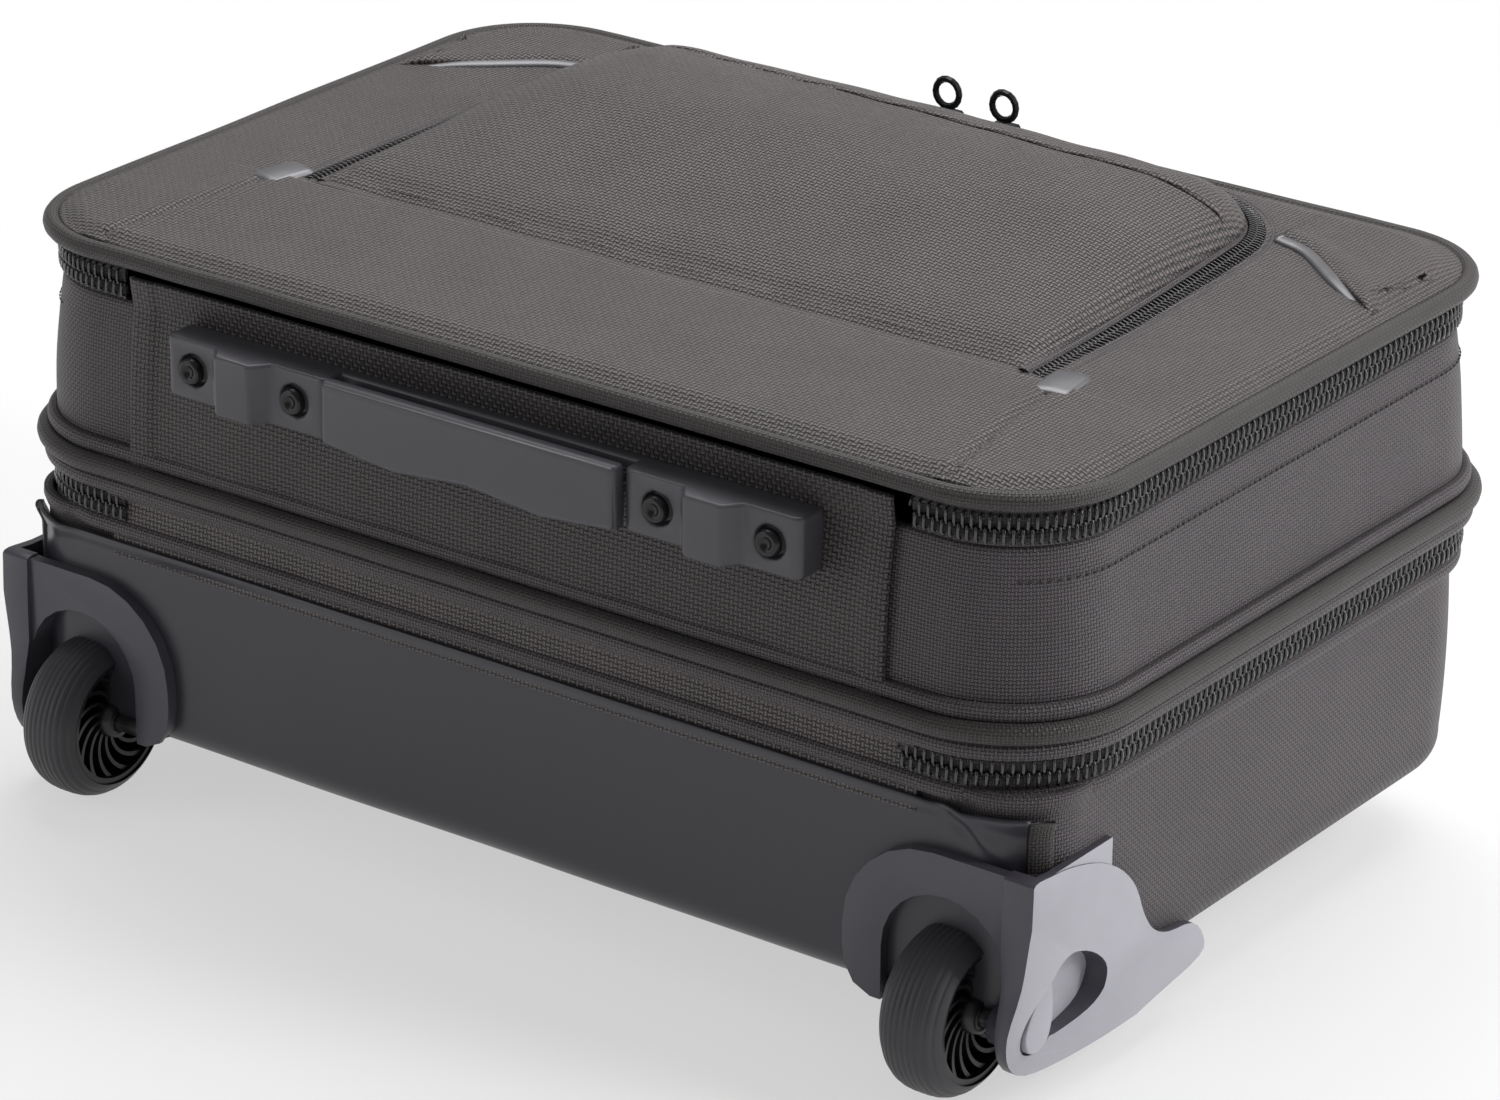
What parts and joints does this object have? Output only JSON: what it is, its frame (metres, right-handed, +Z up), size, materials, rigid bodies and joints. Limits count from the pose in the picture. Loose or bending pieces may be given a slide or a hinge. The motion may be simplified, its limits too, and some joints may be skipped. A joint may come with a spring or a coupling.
{
  "type": "rolling laptop case",
  "caption": "Soft wheeled laptop case lying on its back, with two zipped compartments, a front pocket, in-line wheels in corner housings and a telescoping handle.",
  "frame": {"origin": "middle of the footprint on the floor, with the case lying on its back", "axes": "+X across the width, +Y from the wheel end to the handle end, +Z up out of the front panel"},
  "size_m": [0.44, 0.3306, 0.2225],
  "materials": {
    "ballistic_fabric": "woven, matte",
    "webbing": "woven, matte",
    "lining": "smooth, matte",
    "zip_coil": "gloss",
    "kick_plate_plastic": "smooth satin",
    "button_plastic": "satin",
    "housing_plastic": "satin",
    "tyre_rubber": "ribbed, matte",
    "core_plastic": "moulded",
    "axle_steel": "turned",
    "tube_aluminium": "anodised satin",
    "tab_metal": "satin grey",
    "slider_metal": "gloss black"
  },
  "bodies": {
    "case": {"rear_shell": "ballistic_fabric", "back_board": "lining", "tube_cover": "lining", "kick_plate": "kick_plate_plastic", "rear_zip_case_side": "zip_coil", "handle_bezel": "housing_plastic", "handle_foot_bracket": "housing_plastic", "wheel_housing_left": "housing_plastic", "wheel_housing_right": "housing_plastic", "wheel_axle_left": "axle_steel", "wheel_axle_right": "axle_steel", "axle_cap_left": "housing_plastic", "axle_cap_right": "housing_plastic", "rear_foot_left": "housing_plastic", "rear_foot_right": "housing_plastic", "handle_outer_tube_left": "tube_aluminium", "handle_outer_tube_right": "tube_aluminium"},
    "wheel_left": {"tyre_left": "tyre_rubber", "wheel_core_left": "core_plastic"},
    "wheel_right": {"tyre_right": "tyre_rubber", "wheel_core_right": "core_plastic"},
    "handle_stage_1": {"handle_lower_tube_left": "tube_aluminium", "handle_lower_tube_right": "tube_aluminium"},
    "handle_stage_2": {"handle_middle_tube_left": "tube_aluminium", "handle_middle_tube_right": "tube_aluminium"},
    "handle_stage_3": {"handle_upper_tube_left": "tube_aluminium", "handle_upper_tube_right": "tube_aluminium", "handle_grip": "housing_plastic"},
    "button": {"grip_button": "button_plastic"},
    "mid_section": {"mid_gusset": "ballistic_fabric", "mid_divider": "lining", "mid_piping": "ballistic_fabric", "rear_zip_mid_side": "zip_coil", "main_zip_mid_side": "zip_coil", "foot_bar": "housing_plastic", "foot_grip": "housing_plastic", "carry_handle": "webbing", "laptop_sleeve": "lining"},
    "lid": {"lid_panel": "ballistic_fabric", "lid_piping": "ballistic_fabric", "main_zip_lid_side": "zip_coil", "pocket_zip_lid_side": "zip_coil", "zip_tab_left": "tab_metal", "zip_tab_right": "tab_metal"},
    "pocket_flap": {"pocket_panel": "ballistic_fabric", "slip_pocket": "ballistic_fabric", "pocket_zip_panel_side": "zip_coil"},
    "main_slider_left": {"main_slider_left": "slider_metal"},
    "main_pull_left": {"main_pull_left": "slider_metal"},
    "main_slider_right": {"main_slider_right": "slider_metal"},
    "main_pull_right": {"main_pull_right": "slider_metal"},
    "rear_slider_left": {"rear_slider_left": "slider_metal"},
    "rear_pull_left": {"rear_pull_left": "slider_metal"},
    "rear_slider_right": {"rear_slider_right": "slider_metal"},
    "rear_pull_right": {"rear_pull_right": "slider_metal"},
    "pocket_slider_left": {"pocket_slider_left": "slider_metal"},
    "pocket_pull_left": {"pocket_pull_left": "slider_metal"},
    "pocket_slider_right": {"pocket_slider_right": "slider_metal"},
    "pocket_pull_right": {"pocket_pull_right": "slider_metal"}
  },
  "joints": [
    {"name": "wheel_left_spin", "type": "hinge", "parent": "case", "child": "wheel_left", "pos_m": [-0.18, -0.13684, 0.0285], "axis": [1, 0, 0], "continuous": true},
    {"name": "wheel_right_spin", "type": "hinge", "parent": "case", "child": "wheel_right", "pos_m": [0.18, -0.13684, 0.0285], "axis": [1, 0, 0], "continuous": true},
    {"name": "handle_stage_1_slide", "type": "slide", "parent": "case", "child": "handle_stage_1", "axis": [0, 1, 0], "range_m": [0, 0.19]},
    {"name": "handle_stage_2_slide", "type": "slide", "parent": "handle_stage_1", "child": "handle_stage_2", "axis": [0, 1, 0], "range_m": [0, 0.186]},
    {"name": "handle_stage_3_slide", "type": "slide", "parent": "handle_stage_2", "child": "handle_stage_3", "axis": [0, 1, 0], "range_m": [0, 0.182]},
    {"name": "button_press", "type": "slide", "parent": "handle_stage_3", "child": "button", "axis": [0, -1, 0], "range_m": [0, 0.0025], "stiffness_N_per_m": 600, "springref_m": -0.001},
    {"name": "mid_section_hinge", "type": "hinge", "parent": "case", "child": "mid_section", "pos_m": [0, -0.14584, 0.1114], "axis": [1, 0, 0], "range_deg": [0, 95]},
    {"name": "lid_hinge", "type": "hinge", "parent": "mid_section", "child": "lid", "pos_m": [0, -0.14084, 0.1907], "axis": [1, 0, 0], "range_deg": [0, 100]},
    {"name": "pocket_hinge", "type": "hinge", "parent": "lid", "child": "pocket_flap", "pos_m": [0, -0.06084, 0.2039], "axis": [1, 0, 0], "range_deg": [0, 100]},
    {"name": "main_slider_left_slide", "type": "slide", "parent": "lid", "child": "main_slider_left", "axis": [-1, 0, 0], "range_m": [0, 0.15]},
    {"name": "main_pull_left_swing", "type": "hinge", "parent": "main_slider_left", "child": "main_pull_left", "pos_m": [-0.015, 0.14326, 0.1907], "axis": [1, 0, 0], "range_deg": [0, 150]},
    {"name": "main_slider_right_slide", "type": "slide", "parent": "lid", "child": "main_slider_right", "axis": [1, 0, 0], "range_m": [0, 0.15]},
    {"name": "main_pull_right_swing", "type": "hinge", "parent": "main_slider_right", "child": "main_pull_right", "pos_m": [0.015, 0.14326, 0.1907], "axis": [1, 0, 0], "range_deg": [0, 150]},
    {"name": "rear_slider_left_slide", "type": "slide", "parent": "mid_section", "child": "rear_slider_left", "axis": [-1, 0, 0], "range_m": [0, 0.15]},
    {"name": "rear_pull_left_swing", "type": "hinge", "parent": "rear_slider_left", "child": "rear_pull_left", "pos_m": [-0.015, 0.14766, 0.1114], "axis": [1, 0, 0], "range_deg": [0, 150]},
    {"name": "rear_slider_right_slide", "type": "slide", "parent": "mid_section", "child": "rear_slider_right", "axis": [1, 0, 0], "range_m": [0, 0.15]},
    {"name": "rear_pull_right_swing", "type": "hinge", "parent": "rear_slider_right", "child": "rear_pull_right", "pos_m": [0.015, 0.14766, 0.1114], "axis": [1, 0, 0], "range_deg": [0, 150]},
    {"name": "pocket_slider_left_slide", "type": "slide", "parent": "pocket_flap", "child": "pocket_slider_left", "axis": [-1, 0, 0], "range_m": [0, 0.095]},
    {"name": "pocket_pull_left_swing", "type": "hinge", "parent": "pocket_slider_left", "child": "pocket_pull_left", "pos_m": [-0.012, 0.13116, 0.2112], "axis": [1, 0, 0], "range_deg": [-75, 50]},
    {"name": "pocket_slider_right_slide", "type": "slide", "parent": "pocket_flap", "child": "pocket_slider_right", "axis": [1, 0, 0], "range_m": [0, 0.095]},
    {"name": "pocket_pull_right_swing", "type": "hinge", "parent": "pocket_slider_right", "child": "pocket_pull_right", "pos_m": [0.012, 0.13116, 0.2112], "axis": [1, 0, 0], "range_deg": [-75, 50]}
  ]
}
